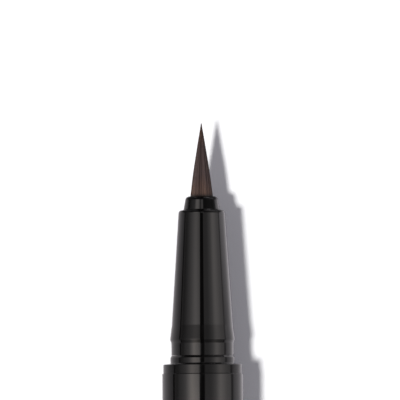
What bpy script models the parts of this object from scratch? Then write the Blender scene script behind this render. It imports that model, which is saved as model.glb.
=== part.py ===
"""Eyebrow brush pen lying on its side with its cap pulled off ahead of it.

Metres, +Z up. The pen lies along +X with its brush towards +X. The origin is on
the surface that it rests on, under the middle of its length. Every turned piece
is drawn along its own Z axis, from the tail (0) towards the brush, and hangs on
an empty whose Z axis is the pen's long axis.
"""

import math
import random

import bmesh
import bpy
from mathutils import Vector

# Clearances
FIT = 0.0002              # radial gap round a piece that sits in another
SEAM = 0.0002             # axial gap between two pieces that meet end to end
RUN = 0.0002              # radial gap round a piece that slides in another
CAP_FIT = 0.00012         # radial gap between the snap rib and the bead

# Faces round a turned piece
OUTER_STEPS = 40
INNER_STEPS = 24
FINE_STEPS = 32
WELD = 1e-6

# Tail plug
TAIL_HEAD = 0.0020
TAIL_EDGE = 0.0007
TAIL_SPIGOT = 0.0055
TAIL_WALL = 0.0009

# Barrel
BARREL_RADIUS = 0.0050
BARREL_WALL = 0.0007
BARREL_LENGTH = 0.0928
BARREL_EDGE = 0.00015

# Radii of the pieces ahead of the barrel, as shares of the barrel's radius
COLLAR_SHARE = 0.972
RING_SHARE = 0.792
BEAD_SHARE = 0.796
NECK_SHARE = 0.768
WAIST_SHARE = 0.755
SECTION_FRONT_SHARE = 0.57
NOZZLE_BASE_SHARE = 0.44
NOZZLE_FRONT_SHARE = 0.388
BRUSH_SHARE = 0.274

# Coupling between the barrel and the front section
COLLAR_LENGTH = 0.00085
SHOULDER_RISE = 0.0002
RING_LENGTH = 0.0008
RING_BEVEL = 0.0002       # length of the bevel that falls to the neck's radius
COUPLING_REAR = 0.0080
COUPLING_SPIGOT = 0.0040
COUPLING_WALL = 0.00065
SOCKET_DEPTH = 0.0050
SOCKET_WALL = 0.0004
SPIGOT_LEAD = 0.0003
GROOVE_PLACE = 0.0014     # the seal groove's middle, behind the spigot's front end
GROOVE_DEPTH = 0.00035
GROOVE_WIDTH = 0.0007
SEAL_WIRE = 0.0002        # radius of the round cord that the section's seal is made of

# Front section
SECTION_LENGTH = 0.0178
SECTION_FRONT_EDGE = 0.00035
SECTION_WAIST = 0.0141
BEAD_PEAK = 0.01585
BEAD_ROUND = 0.0002
BEAD_FRONT_ANGLE = 7      # degrees that the crest's arc turns towards the brush
BEAD_REAR_ANGLE = -35     # and towards the barrel
NECK_START = 0.0163
NECK_EDGE = 0.0001
SECTION_BORE_STEP = 0.0042

# Nozzle
NOZZLE_LENGTH = 0.0017
NOZZLE_RIM = 0.00002      # flat left between the rounded front edge and the bore
NOZZLE_WALL = 0.0003      # round the brush heel
NOZZLE_FLANGE = 0.0008
NOZZLE_BORE_DEPTH = 0.0026

# Brush
BRUSH_LENGTH = 0.0090
BRUSH_BACKING = 0.0015
BRUSH_SUNK = 0.0005
BRUSH_CELLS = 13
BRUSH_KNEE_SHARE = 0.35
BRUSH_KNEE_RADIUS_SHARE = 0.726
BRUSH_TIP_RADIUS_SHARE = 0.045
BRUSH_STAGGER_SHARE = 0.25
STRAND_ROOT_FILL_SHARE = 0.80
STRAND_KNEE_FILL_SHARE = 0.74
STRAND_TIP_FILL_SHARE = 0.60
BRUSH_SEED = 11

# Brush heel
HEEL_LENGTH = 0.0008

# Comb collector
CORE_RADIUS = 0.0006
HUB_WALL = 0.0005
FIN_COUNT = 13
FIN_PITCH = 0.00075
FIN_THICKNESS = 0.0003
COLLECTOR_FLANGE = 0.0008
COLLECTOR_NIPPLE = 0.0030
COLLECTOR_NOSE = 0.0016
INK_SLIT = 0.00035
AIR_SLOT = 0.0009

# Core sleeve between the collector and the brush heel
SLEEVE_WALL = 0.0003
SLEEVE_FLANGE = 0.0004
SLEEVE_FLANGE_RADIUS = 0.0016

# Feed core
CORE_DIP = 0.0060

# Ink tank
TANK_WALL = 0.0008
TANK_NECK_LENGTH = 0.0040
TANK_NECK_WALL = 0.0006
TANK_FLOOR = 0.0010
TANK_END_EDGE = 0.0008
GASKET = 0.0006

# Stirring ball
BALL_RADIUS = 0.0016
BALL_PLACE = 0.0300
BALL_SEGMENTS = 12
BALL_RINGS = 8

# Cap
CAP_OFF = 0.0180
CAP_SEAT = 0.00025
CAP_MOUTH_GAP = 0.0003
CAP_LIP_EDGE = 0.0002
CAP_LIP_DEPTH = 0.0014
RIB_HEIGHT = 0.00016
RIB_SLOPE = 0.0003
RIB_LENGTH = 0.0002
CAP_BACK_WALL = 0.0006
CROWN_HEAD = 0.0015
CROWN_EDGE = 0.0007
CROWN_SPIGOT = 0.0024

# Inner cap, its guide and its spring
INNER_CAP_COVER = 0.00135 # how far it reaches over the front section when the cap is on
BRUSH_ROOM = 0.00195      # its room ahead of the brush when the cap is on
GUIDE_LIP = 0.0008
GUIDE_WALL = 0.00045
STOP_LIP = 0.00045
SEAL_LENGTH = 0.0006
SEAL_LIP = 0.00005
INNER_CAP_WALL = 0.00045
INNER_CAP_END = 0.0008
INNER_CAP_EDGE = 0.0006
SPRING_BOSS_RADIUS = 0.0018
SPRING_BOSS = 0.0010
SPRING_WIRE = 0.0002
SPRING_GAP = 0.0002
SPRING_ROOM = 0.0058
SPRING_TURNS = 5
SPRING_TURN_POINTS = 10

# Stations along the pen, from the tail
BARREL_START = TAIL_HEAD + SEAM
BARREL_END = BARREL_START + BARREL_LENGTH
COLLAR_REAR = BARREL_END + SEAM
COLLAR_FRONT = COLLAR_REAR + COLLAR_LENGTH
SHOULDER_FRONT = COLLAR_FRONT + SHOULDER_RISE
RING_FRONT = SHOULDER_FRONT + RING_LENGTH
SECTION_REAR = RING_FRONT + SEAM
SECTION_FRONT = SECTION_REAR + SECTION_LENGTH
NOZZLE_FRONT = SECTION_FRONT + NOZZLE_LENGTH
BRUSH_TIP = NOZZLE_FRONT + BRUSH_LENGTH

# Radii ahead of the barrel
COLLAR_RADIUS = BARREL_RADIUS * COLLAR_SHARE
RING_RADIUS = BARREL_RADIUS * RING_SHARE
BEAD_RADIUS = BARREL_RADIUS * BEAD_SHARE
NECK_RADIUS = BARREL_RADIUS * NECK_SHARE
SECTION_WAIST_RADIUS = BARREL_RADIUS * WAIST_SHARE
SECTION_FRONT_RADIUS = BARREL_RADIUS * SECTION_FRONT_SHARE
NOZZLE_BASE_RADIUS = BARREL_RADIUS * NOZZLE_BASE_SHARE
NOZZLE_FRONT_RADIUS = BARREL_RADIUS * NOZZLE_FRONT_SHARE
BRUSH_RADIUS = BARREL_RADIUS * BRUSH_SHARE

# Radii and stations that follow from what a piece fits in
BARREL_BORE = BARREL_RADIUS - BARREL_WALL
INSERT_RADIUS = BARREL_BORE - FIT
COLLECTOR_BORE = NOZZLE_BASE_RADIUS + FIT
SPIGOT_RADIUS = COLLECTOR_BORE + COUPLING_WALL
SPIGOT_FRONT = RING_FRONT + COUPLING_SPIGOT
SECTION_REAR_BORE = SPIGOT_RADIUS + FIT
GROOVE_FLOOR = SPIGOT_RADIUS - GROOVE_DEPTH
GROOVE_MIDDLE = SPIGOT_FRONT - GROOVE_PLACE
COUPLING_BACK = COLLAR_REAR - COUPLING_REAR
SOCKET_RADIUS = INSERT_RADIUS - SOCKET_WALL
SOCKET_FLOOR = COUPLING_BACK + SOCKET_DEPTH
FLANGE_FRONT = SOCKET_FLOOR - SEAM
FLANGE_BACK = FLANGE_FRONT - COLLECTOR_FLANGE
GASKET_FRONT = FLANGE_BACK - SEAM
GASKET_BACK = GASKET_FRONT - GASKET
TANK_FRONT = GASKET_BACK - SEAM
TANK_NECK_RADIUS = SOCKET_RADIUS - FIT
TANK_NECK_BORE = TANK_NECK_RADIUS - TANK_NECK_WALL
TANK_BORE = INSERT_RADIUS - TANK_WALL
TANK_BACK = TAIL_HEAD + TAIL_SPIGOT + SEAM
TANK_SHOULDER = min(TANK_FRONT - TANK_NECK_LENGTH, COUPLING_BACK - SEAM)
FIN_RADIUS = COLLECTOR_BORE - FIT
HUB_BORE = CORE_RADIUS + FIT
HUB_RADIUS = HUB_BORE + HUB_WALL
NOZZLE_FLANGE_FRONT = SECTION_FRONT - SECTION_BORE_STEP - SEAM
NOZZLE_BACK = NOZZLE_FLANGE_FRONT - NOZZLE_FLANGE
NOZZLE_BORE = BRUSH_RADIUS + FIT
NOZZLE_BORE_STEP = NOZZLE_FRONT - NOZZLE_BORE_DEPTH
NOZZLE_SHOULDER = NOZZLE_FRONT_RADIUS - NOZZLE_BORE - NOZZLE_RIM
NOZZLE_COUNTERBORE = NOZZLE_BASE_RADIUS - NOZZLE_WALL
HEEL_RADIUS = NOZZLE_COUNTERBORE - FIT
STRAND_ROOT = NOZZLE_FRONT - BRUSH_SUNK
BRUSH_BACK = STRAND_ROOT - BRUSH_BACKING
HEEL_FRONT = min(BRUSH_BACK, NOZZLE_BORE_STEP) - SEAM
HEEL_BACK = HEEL_FRONT - HEEL_LENGTH
COMB_FRONT = FLANGE_FRONT + FIN_COUNT * FIN_PITCH + COLLECTOR_NOSE
SLEEVE_BACK = COMB_FRONT + SEAM
SLEEVE_FRONT = HEEL_BACK - SEAM
CORE_FRONT = BRUSH_BACK - SEAM
CORE_BACK = FLANGE_BACK - COLLECTOR_NIPPLE - CORE_DIP

# Cap stations, counted from its lip towards its crown
CAP_LIP_CLOSED = SHOULDER_FRONT + CAP_SEAT
CAP_LIP_OFF = BRUSH_TIP + CAP_OFF
RIB_RADIUS = BEAD_RADIUS + CAP_FIT
MOUTH_RADIUS = max(RIB_RADIUS + RIB_HEIGHT, RING_RADIUS + CAP_MOUTH_GAP)
CAP_BACK_BORE = BARREL_RADIUS - CAP_BACK_WALL
GUIDE_RADIUS = CAP_BACK_BORE - FIT
GUIDE_BORE = GUIDE_RADIUS - GUIDE_WALL
GUIDE_MOUTH = GUIDE_BORE - STOP_LIP
INNER_CAP_RADIUS = GUIDE_BORE - RUN
INNER_CAP_BORE = INNER_CAP_RADIUS - INNER_CAP_WALL
SEAL_PLACE = SECTION_FRONT - INNER_CAP_COVER - CAP_LIP_CLOSED
GUIDE_PLACE = SEAL_PLACE - SEAM - GUIDE_LIP
INNER_CAP_PLACE = SEAL_PLACE + SEAL_LENGTH + SEAM
INNER_CAP_FLOOR = BRUSH_TIP + BRUSH_ROOM - CAP_LIP_CLOSED
INNER_CAP_BACK = INNER_CAP_FLOOR + INNER_CAP_END
CROWN_FACE = INNER_CAP_BACK + SPRING_ROOM
CAP_LENGTH = CROWN_FACE + CROWN_SPIGOT - SEAM
SPRING_COIL_RADIUS = SPRING_BOSS_RADIUS + SPRING_GAP + SPRING_WIRE
SPRING_START = INNER_CAP_BACK + SPRING_WIRE + SEAM
SPRING_END = CROWN_FACE - SPRING_WIRE - SEAM

PARTS = "eyebrow_pen"
CUTTERS = "eyebrow_pen_cutters"


def clear_scene():
    for obj in list(bpy.data.objects):
        bpy.data.objects.remove(obj, do_unlink=True)


def new_collection(name):
    collection = bpy.data.collections.new(name)
    bpy.context.scene.collection.children.link(collection)
    return collection


def new_material(name, colour, roughness, metallic=0.0):
    material = bpy.data.materials.new(name)
    material.use_nodes = True
    shader = material.node_tree.nodes["Principled BSDF"]
    shader.inputs["Base Color"].default_value = (*colour, 1.0)
    shader.inputs["Roughness"].default_value = roughness
    shader.inputs["Metallic"].default_value = metallic
    return material


def new_empty(name, place, parent=None):
    empty = bpy.data.objects.new(name, None)
    parts.objects.link(empty)
    empty.location = place
    empty.parent = parent
    return empty


def add_object(name, mesh, material, parent, place=0.0):
    """Put a mesh on the long axis of its parent, at a station along it."""
    obj = bpy.data.objects.new(name, mesh)
    parts.objects.link(obj)
    obj.parent = parent
    obj.location = (0.0, 0.0, place)
    mesh.materials.clear()
    mesh.materials.append(material)
    mesh.shade_smooth()
    mesh.set_sharp_from_angle(angle=math.radians(35))
    return obj


def arc(centre_r, centre_z, radius, start, end, points=4):
    """Points of a round edge, by angle in degrees from the radial direction."""
    found = []
    for i in range(points + 1):
        angle = math.radians(start + (end - start) * i / points)
        found.append((centre_r + radius * math.cos(angle), centre_z + radius * math.sin(angle)))
    return found


def turned(name, profile, material, parent, steps, closed, place=0.0):
    """Turn a profile of (radius, station) points round the long axis.

    The profile runs down the outer side, from the front end to the rear one. A
    closed profile makes a tube; an open one starts and ends on the axis.
    """
    mesh = bpy.data.meshes.new(name)
    outline = bmesh.new()
    corners = [outline.verts.new((radius, 0.0, station)) for radius, station in profile]
    for first, second in zip(corners, corners[1:]):
        outline.edges.new((first, second))
    if closed:
        outline.edges.new((corners[-1], corners[0]))
    outline.to_mesh(mesh)
    outline.free()
    obj = add_object(name, mesh, material, parent, place)
    screw = obj.modifiers.new("turn", "SCREW")
    screw.axis = "Z"
    screw.steps = steps
    screw.render_steps = steps
    screw.use_smooth_shade = True
    screw.use_merge_vertices = True
    screw.merge_threshold = WELD
    return obj


def make_tail_plug(pen):
    spigot_front = TAIL_HEAD + TAIL_SPIGOT
    cup = INSERT_RADIUS - TAIL_WALL
    edge_centre = BARREL_RADIUS - TAIL_EDGE
    profile = [
        (0.0, TAIL_HEAD),
        (cup, TAIL_HEAD),
        (cup, spigot_front),
        (INSERT_RADIUS - SPIGOT_LEAD, spigot_front),
        (INSERT_RADIUS, spigot_front - SPIGOT_LEAD),
        (INSERT_RADIUS, TAIL_HEAD),
        (BARREL_RADIUS, TAIL_HEAD),
        *arc(edge_centre, TAIL_EDGE, TAIL_EDGE, 0, -90, 3),
        (0.0, 0.0),
    ]
    return turned("tail_plug", profile, black_gloss, pen, OUTER_STEPS, closed=False)


def make_barrel(pen):
    edge_centre = BARREL_RADIUS - BARREL_EDGE
    profile = [
        (BARREL_BORE, BARREL_END),
        (edge_centre, BARREL_END),
        (BARREL_RADIUS, BARREL_END - BARREL_EDGE),
        (BARREL_RADIUS, BARREL_START + BARREL_EDGE),
        (edge_centre, BARREL_START),
        (BARREL_BORE, BARREL_START),
    ]
    return turned("barrel", profile, black_gloss, pen, OUTER_STEPS, closed=True)


def make_ink_tank(pen):
    edge_centre = INSERT_RADIUS - TANK_END_EDGE
    profile = [
        (0.0, TANK_BACK + TANK_FLOOR),
        (TANK_BORE, TANK_BACK + TANK_FLOOR),
        (TANK_BORE, TANK_SHOULDER - TANK_FLOOR),
        (TANK_NECK_BORE, TANK_SHOULDER),
        (TANK_NECK_BORE, TANK_FRONT),
        (TANK_NECK_RADIUS, TANK_FRONT),
        (TANK_NECK_RADIUS, TANK_SHOULDER),
        (INSERT_RADIUS, TANK_SHOULDER),
        *arc(edge_centre, TANK_BACK + TANK_END_EDGE, TANK_END_EDGE, 0, -90, 2),
        (0.0, TANK_BACK),
    ]
    return turned("ink_tank", profile, natural_plastic, pen, INNER_STEPS, closed=False)


def make_tank_seal(pen):
    profile = [
        (TANK_NECK_BORE, GASKET_FRONT),
        (TANK_NECK_RADIUS, GASKET_FRONT),
        (TANK_NECK_RADIUS, GASKET_BACK),
        (TANK_NECK_BORE, GASKET_BACK),
    ]
    return turned("tank_seal", profile, soft_rubber, pen, INNER_STEPS, closed=True)


def make_stirring_ball(pen):
    """The ball lies on the tank's inner wall, under the pen's axis."""
    mesh = bpy.data.meshes.new("stirring_ball")
    ball = bmesh.new()
    bmesh.ops.create_uvsphere(
        ball, u_segments=BALL_SEGMENTS, v_segments=BALL_RINGS, radius=BALL_RADIUS
    )
    ball.to_mesh(mesh)
    ball.free()
    obj = add_object("stirring_ball", mesh, steel, pen)
    flat_wall = TANK_BORE * math.cos(math.pi / INNER_STEPS)
    drop = flat_wall - RUN - BALL_RADIUS
    obj.location = (drop, 0.0, BALL_PLACE)
    return obj


def make_coupling(pen):
    profile = [
        (COLLECTOR_BORE, SPIGOT_FRONT),
        (SPIGOT_RADIUS - SPIGOT_LEAD, SPIGOT_FRONT),
        (SPIGOT_RADIUS, SPIGOT_FRONT - SPIGOT_LEAD),
        (SPIGOT_RADIUS, GROOVE_MIDDLE + GROOVE_WIDTH / 2),
        (GROOVE_FLOOR, GROOVE_MIDDLE + GROOVE_WIDTH / 2),
        (GROOVE_FLOOR, GROOVE_MIDDLE - GROOVE_WIDTH / 2),
        (SPIGOT_RADIUS, GROOVE_MIDDLE - GROOVE_WIDTH / 2),
        (SPIGOT_RADIUS, RING_FRONT),
        (NECK_RADIUS, RING_FRONT),
        (RING_RADIUS, RING_FRONT - RING_BEVEL),
        (RING_RADIUS, SHOULDER_FRONT),
        (COLLAR_RADIUS, COLLAR_FRONT),
        (COLLAR_RADIUS, COLLAR_REAR),
        (INSERT_RADIUS, COLLAR_REAR),
        (INSERT_RADIUS, COUPLING_BACK + SPIGOT_LEAD),
        (INSERT_RADIUS - SPIGOT_LEAD, COUPLING_BACK),
        (SOCKET_RADIUS, COUPLING_BACK),
        (SOCKET_RADIUS, SOCKET_FLOOR),
        (COLLECTOR_BORE, SOCKET_FLOOR),
    ]
    return turned("coupling", profile, black_satin, pen, OUTER_STEPS, closed=True)


def make_section_seal(pen):
    """The round ring in the spigot's groove, midway between the groove's floor and the bore round it."""
    profile = arc((GROOVE_FLOOR + SECTION_REAR_BORE) / 2, GROOVE_MIDDLE, SEAL_WIRE, 90, -210, 5)
    return turned("section_seal", profile, soft_rubber, pen, INNER_STEPS, closed=True)


def make_front_section(pen):
    """The tapered front barrel, with the bead that the cap snaps over."""
    front_edge = SECTION_FRONT_RADIUS - SECTION_FRONT_EDGE
    bore_step = SECTION_FRONT - SECTION_BORE_STEP
    front_bore = NOZZLE_BASE_RADIUS + FIT
    bead_centre = BEAD_RADIUS - BEAD_ROUND
    profile = [
        (front_bore, SECTION_FRONT),
        *arc(front_edge, SECTION_FRONT - SECTION_FRONT_EDGE, SECTION_FRONT_EDGE, 90, 0),
        (SECTION_WAIST_RADIUS, SECTION_FRONT - SECTION_WAIST),
        *arc(bead_centre, SECTION_FRONT - BEAD_PEAK, BEAD_ROUND, BEAD_FRONT_ANGLE, BEAD_REAR_ANGLE, 3),
        (NECK_RADIUS, SECTION_FRONT - NECK_START),
        (NECK_RADIUS, SECTION_REAR + NECK_EDGE),
        (NECK_RADIUS - NECK_EDGE, SECTION_REAR),
        (SECTION_REAR_BORE, SECTION_REAR),
        (SECTION_REAR_BORE, SPIGOT_FRONT + SEAM),
        (COLLECTOR_BORE + FIT, SPIGOT_FRONT + SEAM),
        (COLLECTOR_BORE + FIT, bore_step),
        (front_bore, bore_step),
    ]
    return turned("front_section", profile, black_gloss, pen, OUTER_STEPS, closed=True)


def make_nozzle(pen):
    shoulder_centre = NOZZLE_FRONT_RADIUS - NOZZLE_SHOULDER
    flange_radius = COLLECTOR_BORE
    profile = [
        (NOZZLE_BORE, NOZZLE_FRONT),
        *arc(shoulder_centre, NOZZLE_FRONT - NOZZLE_SHOULDER, NOZZLE_SHOULDER, 90, 0, 3),
        (NOZZLE_BASE_RADIUS, SECTION_FRONT),
        (NOZZLE_BASE_RADIUS, NOZZLE_FLANGE_FRONT),
        (flange_radius, NOZZLE_FLANGE_FRONT),
        (flange_radius, NOZZLE_BACK),
        (NOZZLE_COUNTERBORE, NOZZLE_BACK),
        (NOZZLE_COUNTERBORE, NOZZLE_BORE_STEP),
        (NOZZLE_BORE, NOZZLE_BORE_STEP),
    ]
    return turned("nozzle", profile, black_satin, pen, INNER_STEPS, closed=True)


def make_brush_heel(pen):
    """The ring behind the brush, which the core passes through."""
    profile = [
        (HUB_BORE, HEEL_FRONT),
        (HEEL_RADIUS, HEEL_FRONT),
        (HEEL_RADIUS, HEEL_BACK),
        (HUB_BORE, HEEL_BACK),
    ]
    return turned("brush_heel", profile, natural_plastic, pen, INNER_STEPS, closed=True)


def make_core_sleeve(pen):
    sleeve_radius = HUB_BORE + SLEEVE_WALL
    profile = [
        (HUB_BORE, SLEEVE_FRONT),
        (sleeve_radius, SLEEVE_FRONT),
        (sleeve_radius, SLEEVE_BACK + SLEEVE_FLANGE),
        (SLEEVE_FLANGE_RADIUS, SLEEVE_BACK + SLEEVE_FLANGE),
        (SLEEVE_FLANGE_RADIUS, SLEEVE_BACK),
        (HUB_BORE, SLEEVE_BACK),
    ]
    return turned("core_sleeve", profile, natural_plastic, pen, INNER_STEPS, closed=True)


def make_feed_core(pen):
    profile = [
        (0.0, CORE_FRONT),
        (CORE_RADIUS, CORE_FRONT),
        (CORE_RADIUS, CORE_BACK),
        (0.0, CORE_BACK),
    ]
    return turned("feed_core", profile, core_fibre, pen, INNER_STEPS, closed=False)


def make_cutter(name, size, place, parent):
    """A box that cuts a slot, by its size and the place of its middle."""
    mesh = bpy.data.meshes.new(name)
    box = bmesh.new()
    bmesh.ops.create_cube(box, size=1.0)
    bmesh.ops.scale(box, vec=Vector(size), verts=box.verts)
    box.to_mesh(mesh)
    box.free()
    obj = bpy.data.objects.new(name, mesh)
    cutters.objects.link(obj)
    obj.parent = parent
    obj.location = place
    obj.hide_render = True
    obj.display_type = "WIRE"
    return obj


def cut(obj, cutter):
    boolean = obj.modifiers.new(cutter.name, "BOOLEAN")
    boolean.operation = "DIFFERENCE"
    boolean.solver = "EXACT"
    boolean.object = cutter


def make_comb_collector(pen):
    """The finned ink buffer.

    Thin fins stand on a bored hub. A narrow slit along one side lets ink creep
    into the gaps, and a wider slot opposite lets air back to the tank.
    """
    nipple_back = FLANGE_BACK - COLLECTOR_NIPPLE
    comb_back = FLANGE_FRONT
    profile = [(HUB_BORE, COMB_FRONT), (HUB_RADIUS, COMB_FRONT)]
    for i in reversed(range(FIN_COUNT)):
        fin_back = comb_back + FIN_PITCH * (i + 1) - FIN_THICKNESS
        fin_front = fin_back + FIN_THICKNESS
        profile += [
            (HUB_RADIUS, fin_front),
            (FIN_RADIUS, fin_front),
            (FIN_RADIUS, fin_back),
            (HUB_RADIUS, fin_back),
        ]
    profile += [
        (HUB_RADIUS, FLANGE_FRONT),
        (TANK_NECK_RADIUS, FLANGE_FRONT),
        (TANK_NECK_RADIUS, FLANGE_BACK),
        (HUB_RADIUS, FLANGE_BACK),
        (HUB_RADIUS, nipple_back),
        (HUB_BORE, nipple_back),
    ]
    collector = turned("comb_collector", profile, collector_resin, pen, INNER_STEPS, closed=True)
    slots = new_empty("collector_slots", (0.0, 0.0, 0.0), pen)
    slots.rotation_euler = (0.0, 0.0, -half_step)
    slot_length = (FIN_COUNT + 1) * FIN_PITCH
    middle = comb_back + slot_length / 2
    depth = FIN_RADIUS - HUB_BORE
    ink_slit = make_cutter(
        "ink_slit_cutter", (depth, INK_SLIT, slot_length), (-FIN_RADIUS, 0.0, middle), slots
    )
    air_slot = make_cutter(
        "air_slot_cutter", (depth, AIR_SLOT, slot_length), (FIN_RADIUS, 0.0, middle), slots
    )
    cut(collector, ink_slit)
    cut(collector, air_slot)
    return collector


def radius_share(share):
    """The brush's radius at a share of its free length from the root, as a share of its root radius."""
    if share < BRUSH_KNEE_SHARE:
        return 1 + (BRUSH_KNEE_RADIUS_SHARE - 1) * share / BRUSH_KNEE_SHARE
    left = (share - BRUSH_KNEE_SHARE) / (1 - BRUSH_KNEE_SHARE)
    return BRUSH_KNEE_RADIUS_SHARE + (BRUSH_TIP_RADIUS_SHARE - BRUSH_KNEE_RADIUS_SHARE) * left


def disc_point(x, y):
    """A point of the square from -1 to 1, moved into the round disc."""
    return x * math.sqrt(1 - y * y / 2), y * math.sqrt(1 - x * x / 2)


def place_ring(corners, cell, station_share, fill):
    """Set a strand's three corners: its cell shrunk about its own middle, then drawn in to the axis."""
    middle = sum(cell, Vector()) / len(cell)
    narrowing = radius_share(station_share)
    station = STRAND_ROOT + (BRUSH_TIP - STRAND_ROOT) * station_share
    for vert, corner in zip(corners, cell):
        across = (middle + (corner - middle) * fill) * narrowing
        vert.co = (across.x, across.y, station)


def make_brush_tip(pen):
    """The brush: three-sided filaments fused to a slice of their backing.

    Every filament keeps to its own cell of the disc, and all the cells are drawn
    in towards the axis alike, so that no two filaments cross.
    """
    chance = random.Random(BRUSH_SEED)
    brush = bmesh.new()
    bmesh.ops.create_grid(brush, x_segments=BRUSH_CELLS, y_segments=BRUSH_CELLS, size=1.0)
    for vert in brush.verts:
        x, y = disc_point(vert.co.x, vert.co.y)
        vert.co = (x * BRUSH_RADIUS, y * BRUSH_RADIUS, STRAND_ROOT)
    bmesh.ops.triangulate(brush, faces=brush.faces)
    cells = list(brush.faces)
    rim = [edge for edge in brush.edges if edge.is_boundary]
    skirt = bmesh.ops.extrude_edge_only(brush, edges=rim)["geom"]
    lower_verts = [item for item in skirt if isinstance(item, bmesh.types.BMVert)]
    lower_edges = [item for item in skirt if isinstance(item, bmesh.types.BMEdge)]
    for vert in lower_verts:
        vert.co.z = BRUSH_BACK
    lower_rim = [edge for edge in lower_edges if all(v in lower_verts for v in edge.verts)]
    bmesh.ops.contextual_create(brush, geom=lower_rim)
    cell_corners = {face: [vert.co.copy() for vert in face.verts] for face in cells}
    bmesh.ops.inset_individual(brush, faces=cells, thickness=0.0, use_even_offset=False)
    for face in cells:
        cell = cell_corners[face]
        place_ring(face.verts, cell, 0.0, STRAND_ROOT_FILL_SHARE)
    knees = bmesh.ops.extrude_discrete_faces(brush, faces=cells)["faces"]
    for face, cell in zip(knees, cell_corners.values()):
        place_ring(face.verts, cell, BRUSH_KNEE_SHARE, STRAND_KNEE_FILL_SHARE)
    tips = bmesh.ops.extrude_discrete_faces(brush, faces=knees)["faces"]
    for face, cell in zip(tips, cell_corners.values()):
        shortened = BRUSH_STAGGER_SHARE * chance.random() ** 2
        place_ring(face.verts, cell, 1 - shortened, STRAND_TIP_FILL_SHARE)
    bmesh.ops.recalc_face_normals(brush, faces=brush.faces)
    print(len(tips), "filaments")
    mesh = bpy.data.meshes.new("brush_tip")
    brush.to_mesh(mesh)
    brush.free()
    return add_object("brush_tip", mesh, filament, pen)


def make_cap_shell(cap):
    """The cap: a tube with a snap rib behind its lip and a step that stops the guide."""
    rib = CAP_LIP_DEPTH
    lip_edge = BARREL_RADIUS - CAP_LIP_EDGE
    profile = [
        (CAP_BACK_BORE, CAP_LENGTH),
        (BARREL_RADIUS - BARREL_EDGE, CAP_LENGTH),
        (BARREL_RADIUS, CAP_LENGTH - BARREL_EDGE),
        (BARREL_RADIUS, CAP_LIP_EDGE),
        (lip_edge, 0.0),
        (MOUTH_RADIUS + CAP_LIP_EDGE, 0.0),
        (MOUTH_RADIUS, CAP_LIP_EDGE),
        (MOUTH_RADIUS, rib),
        (RIB_RADIUS, rib + RIB_SLOPE),
        (RIB_RADIUS, rib + RIB_SLOPE + RIB_LENGTH),
        (MOUTH_RADIUS, rib + RIB_SLOPE * 2 + RIB_LENGTH),
        (MOUTH_RADIUS, GUIDE_PLACE - SEAM),
        (CAP_BACK_BORE, GUIDE_PLACE - SEAM),
    ]
    return turned("cap_shell", profile, black_gloss, cap, OUTER_STEPS, closed=True)


def make_cap_crown(cap):
    head_back = CAP_LENGTH + SEAM
    top = head_back + CROWN_HEAD
    edge_centre = BARREL_RADIUS - CROWN_EDGE
    profile = [
        (0.0, top),
        *arc(edge_centre, top - CROWN_EDGE, CROWN_EDGE, 90, 0, 3),
        (BARREL_RADIUS, head_back),
        (GUIDE_RADIUS, head_back),
        (GUIDE_RADIUS, CROWN_FACE + SPIGOT_LEAD),
        (GUIDE_RADIUS - SPIGOT_LEAD, CROWN_FACE),
        (SPRING_BOSS_RADIUS, CROWN_FACE),
        (SPRING_BOSS_RADIUS, CROWN_FACE - SPRING_BOSS),
        (0.0, CROWN_FACE - SPRING_BOSS),
    ]
    return turned("cap_crown", profile, black_gloss, cap, OUTER_STEPS, closed=False)


def make_inner_cap_guide(cap):
    guide_back = CROWN_FACE - SEAM
    profile = [
        (GUIDE_BORE, guide_back),
        (GUIDE_RADIUS, guide_back),
        (GUIDE_RADIUS, GUIDE_PLACE),
        (GUIDE_MOUTH, GUIDE_PLACE),
        (GUIDE_MOUTH, GUIDE_PLACE + GUIDE_LIP),
        (GUIDE_BORE, GUIDE_PLACE + GUIDE_LIP),
    ]
    return turned("inner_cap_guide", profile, white_plastic, cap, FINE_STEPS, closed=True)


def make_inner_cap(slider):
    """The thimble that closes round the brush, with the boss that centres its spring."""
    back = INNER_CAP_BACK
    edge_centre = INNER_CAP_RADIUS - INNER_CAP_EDGE
    profile = [
        (0.0, back + SPRING_BOSS),
        (SPRING_BOSS_RADIUS, back + SPRING_BOSS),
        (SPRING_BOSS_RADIUS, back),
        *arc(edge_centre, back - INNER_CAP_EDGE, INNER_CAP_EDGE, 90, 0, 2),
        (INNER_CAP_RADIUS, INNER_CAP_PLACE),
        (INNER_CAP_BORE, INNER_CAP_PLACE),
        (INNER_CAP_BORE, INNER_CAP_FLOOR),
        (0.0, INNER_CAP_FLOOR),
    ]
    return turned("inner_cap", profile, white_plastic, slider, FINE_STEPS, closed=False)


def make_inner_cap_seal(slider):
    profile = [
        (INNER_CAP_BORE, SEAL_PLACE + SEAL_LENGTH),
        (INNER_CAP_RADIUS, SEAL_PLACE + SEAL_LENGTH),
        (INNER_CAP_RADIUS, SEAL_PLACE),
        (INNER_CAP_BORE - SEAL_LIP, SEAL_PLACE),
    ]
    return turned("inner_cap_seal", profile, soft_rubber, slider, FINE_STEPS, closed=True)


def spring_points():
    count = SPRING_TURNS * SPRING_TURN_POINTS
    points = []
    for i in range(count + 1):
        angle = 2 * math.pi * i / SPRING_TURN_POINTS
        station = SPRING_START + (SPRING_END - SPRING_START) * i / count
        x = SPRING_COIL_RADIUS * math.cos(angle)
        y = SPRING_COIL_RADIUS * math.sin(angle)
        points.append(Vector((x, y, station)))
    return points


def least_gap(points, wire_radius, turn_points):
    """The smallest gap between one turn of a coil and the next, measured on its points."""
    gap = math.inf
    for i, point in enumerate(points):
        for other in points[i + turn_points // 2:]:
            gap = min(gap, (point - other).length - wire_radius * 2)
    return gap


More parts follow.
